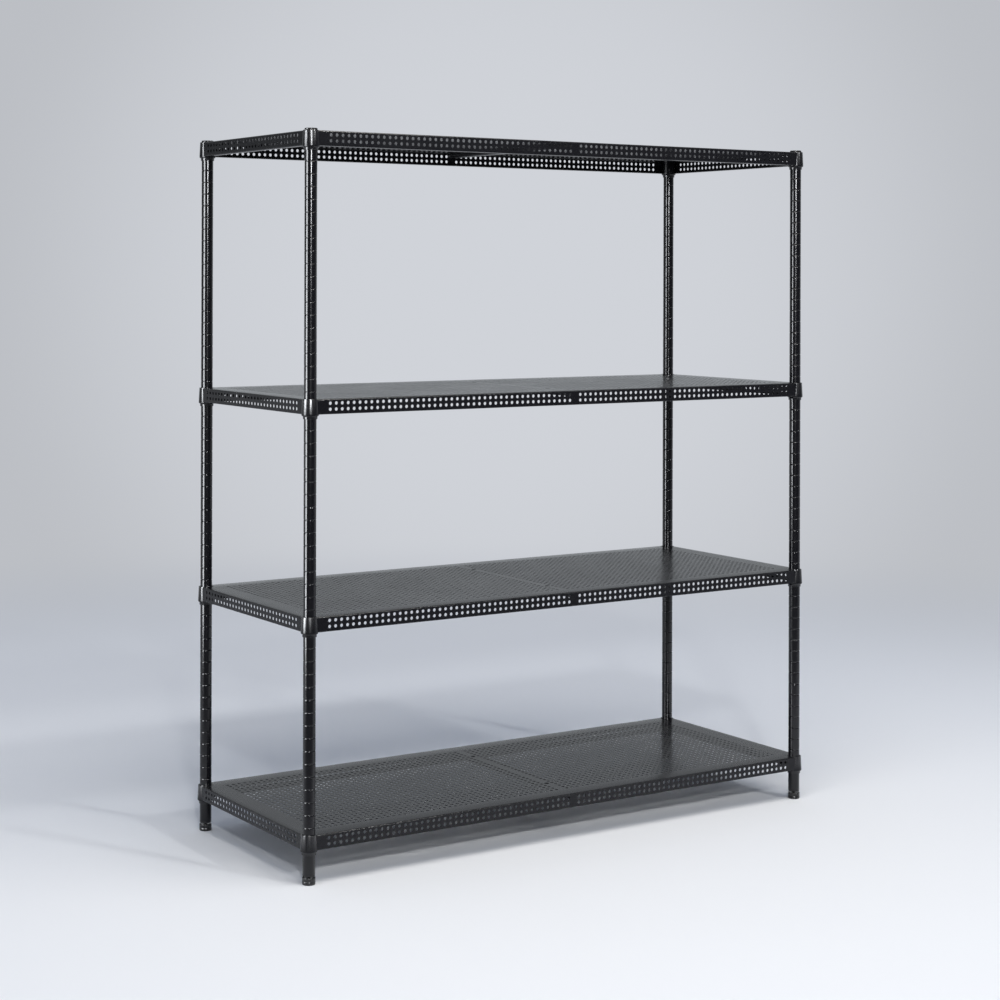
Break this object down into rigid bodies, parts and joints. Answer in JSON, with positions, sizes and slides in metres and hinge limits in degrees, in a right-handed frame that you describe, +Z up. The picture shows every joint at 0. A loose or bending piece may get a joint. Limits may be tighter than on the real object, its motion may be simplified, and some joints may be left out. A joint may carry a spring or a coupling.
{
  "type": "four-tier shelf rack",
  "caption": "Black open rack: perforated steel shelves clipped by tapered split sleeves to grooved round posts, on screw-in levelling feet.",
  "frame": {"origin": "on the floor under the middle of the rack, between the four feet", "axes": "+X along the long side to the right, +Y from the front to the back, +Z up"},
  "size_m": [1.3212, 0.4958, 1.5],
  "materials": {
    "post_powder": "semi-gloss black powder coat",
    "shelf_powder": "satin black powder coat",
    "sleeve_plastic": "satin moulded black",
    "cap_plastic": "smooth moulded black",
    "insert_plastic": "satin moulded black",
    "foot_plastic": "smooth moulded black",
    "stud_zinc": "black zinc plated"
  },
  "bodies": {
    "frame": {"post_FL": "post_powder", "cap_FL": "cap_plastic", "foot_insert_FL": "insert_plastic", "post_FR": "post_powder", "cap_FR": "cap_plastic", "foot_insert_FR": "insert_plastic", "post_RL": "post_powder", "cap_RL": "cap_plastic", "foot_insert_RL": "insert_plastic", "post_RR": "post_powder", "cap_RR": "cap_plastic", "foot_insert_RR": "insert_plastic", "sleeve_1_FL_a": "sleeve_plastic", "sleeve_1_FL_b": "sleeve_plastic", "sleeve_1_FR_a": "sleeve_plastic", "sleeve_1_FR_b": "sleeve_plastic", "sleeve_1_RL_a": "sleeve_plastic", "sleeve_1_RL_b": "sleeve_plastic", "sleeve_1_RR_a": "sleeve_plastic", "sleeve_1_RR_b": "sleeve_plastic", "sleeve_2_FL_a": "sleeve_plastic", "sleeve_2_FL_b": "sleeve_plastic", "sleeve_2_FR_a": "sleeve_plastic", "sleeve_2_FR_b": "sleeve_plastic", "sleeve_2_RL_a": "sleeve_plastic", "sleeve_2_RL_b": "sleeve_plastic", "sleeve_2_RR_a": "sleeve_plastic", "sleeve_2_RR_b": "sleeve_plastic", "sleeve_3_FL_a": "sleeve_plastic", "sleeve_3_FL_b": "sleeve_plastic", "sleeve_3_FR_a": "sleeve_plastic", "sleeve_3_FR_b": "sleeve_plastic", "sleeve_3_RL_a": "sleeve_plastic", "sleeve_3_RL_b": "sleeve_plastic", "sleeve_3_RR_a": "sleeve_plastic", "sleeve_3_RR_b": "sleeve_plastic", "sleeve_4_FL_a": "sleeve_plastic", "sleeve_4_FL_b": "sleeve_plastic", "sleeve_4_FR_a": "sleeve_plastic", "sleeve_4_FR_b": "sleeve_plastic", "sleeve_4_RL_a": "sleeve_plastic", "sleeve_4_RL_b": "sleeve_plastic", "sleeve_4_RR_a": "sleeve_plastic", "sleeve_4_RR_b": "sleeve_plastic"},
    "shelf_1_body": {"shelf_1": "shelf_powder", "brace_1": "shelf_powder"},
    "shelf_2_body": {"shelf_2": "shelf_powder", "brace_2": "shelf_powder"},
    "shelf_3_body": {"shelf_3": "shelf_powder", "brace_3": "shelf_powder"},
    "shelf_4_body": {"shelf_4": "shelf_powder", "brace_4": "shelf_powder"},
    "foot_FL_screw_body": {"foot_stud_FL": "stud_zinc"},
    "foot_FL_base_body": {"foot_base_FL": "foot_plastic"},
    "foot_FR_screw_body": {"foot_stud_FR": "stud_zinc"},
    "foot_FR_base_body": {"foot_base_FR": "foot_plastic"},
    "foot_RL_screw_body": {"foot_stud_RL": "stud_zinc"},
    "foot_RL_base_body": {"foot_base_RL": "foot_plastic"},
    "foot_RR_screw_body": {"foot_stud_RR": "stud_zinc"},
    "foot_RR_base_body": {"foot_base_RR": "foot_plastic"}
  },
  "joints": [
    {"name": "shelf_1_lift", "type": "slide", "parent": "frame", "child": "shelf_1_body", "axis": [0, 0, 1], "range_m": [0, 0.385]},
    {"name": "shelf_2_lift", "type": "slide", "parent": "frame", "child": "shelf_2_body", "axis": [0, 0, 1], "range_m": [0, 0.385]},
    {"name": "shelf_3_lift", "type": "slide", "parent": "frame", "child": "shelf_3_body", "axis": [0, 0, 1], "range_m": [0, 0.485]},
    {"name": "shelf_4_lift", "type": "slide", "parent": "frame", "child": "shelf_4_body", "axis": [0, 0, 1], "range_m": [0, 0.1]},
    {"name": "foot_FL_travel", "type": "slide", "parent": "frame", "child": "foot_FL_screw_body", "axis": [0, 0, -1], "range_m": [0, 0.0125]},
    {"name": "foot_FL_turn", "type": "hinge", "parent": "foot_FL_screw_body", "child": "foot_FL_base_body", "pos_m": [-0.643, -0.23025, 0], "axis": [0, 0, -1], "range_deg": [0, 3601]},
    {"name": "foot_FR_travel", "type": "slide", "parent": "frame", "child": "foot_FR_screw_body", "axis": [0, 0, -1], "range_m": [0, 0.0125]},
    {"name": "foot_FR_turn", "type": "hinge", "parent": "foot_FR_screw_body", "child": "foot_FR_base_body", "pos_m": [0.643, -0.23025, 0], "axis": [0, 0, -1], "range_deg": [0, 3601]},
    {"name": "foot_RL_travel", "type": "slide", "parent": "frame", "child": "foot_RL_screw_body", "axis": [0, 0, -1], "range_m": [0, 0.0125]},
    {"name": "foot_RL_turn", "type": "hinge", "parent": "foot_RL_screw_body", "child": "foot_RL_base_body", "pos_m": [-0.643, 0.23025, 0], "axis": [0, 0, -1], "range_deg": [0, 3601]},
    {"name": "foot_RR_travel", "type": "slide", "parent": "frame", "child": "foot_RR_screw_body", "axis": [0, 0, -1], "range_m": [0, 0.0125]},
    {"name": "foot_RR_turn", "type": "hinge", "parent": "foot_RR_screw_body", "child": "foot_RR_base_body", "pos_m": [0.643, 0.23025, 0], "axis": [0, 0, -1], "range_deg": [0, 3601]}
  ],
  "couplings": [
    {"joint": "foot_FL_turn", "follows": "foot_FL_travel", "rad_per_m": 5026.5},
    {"joint": "foot_FR_turn", "follows": "foot_FR_travel", "rad_per_m": 5026.5},
    {"joint": "foot_RL_turn", "follows": "foot_RL_travel", "rad_per_m": 5026.5},
    {"joint": "foot_RR_turn", "follows": "foot_RR_travel", "rad_per_m": 5026.5}
  ]
}
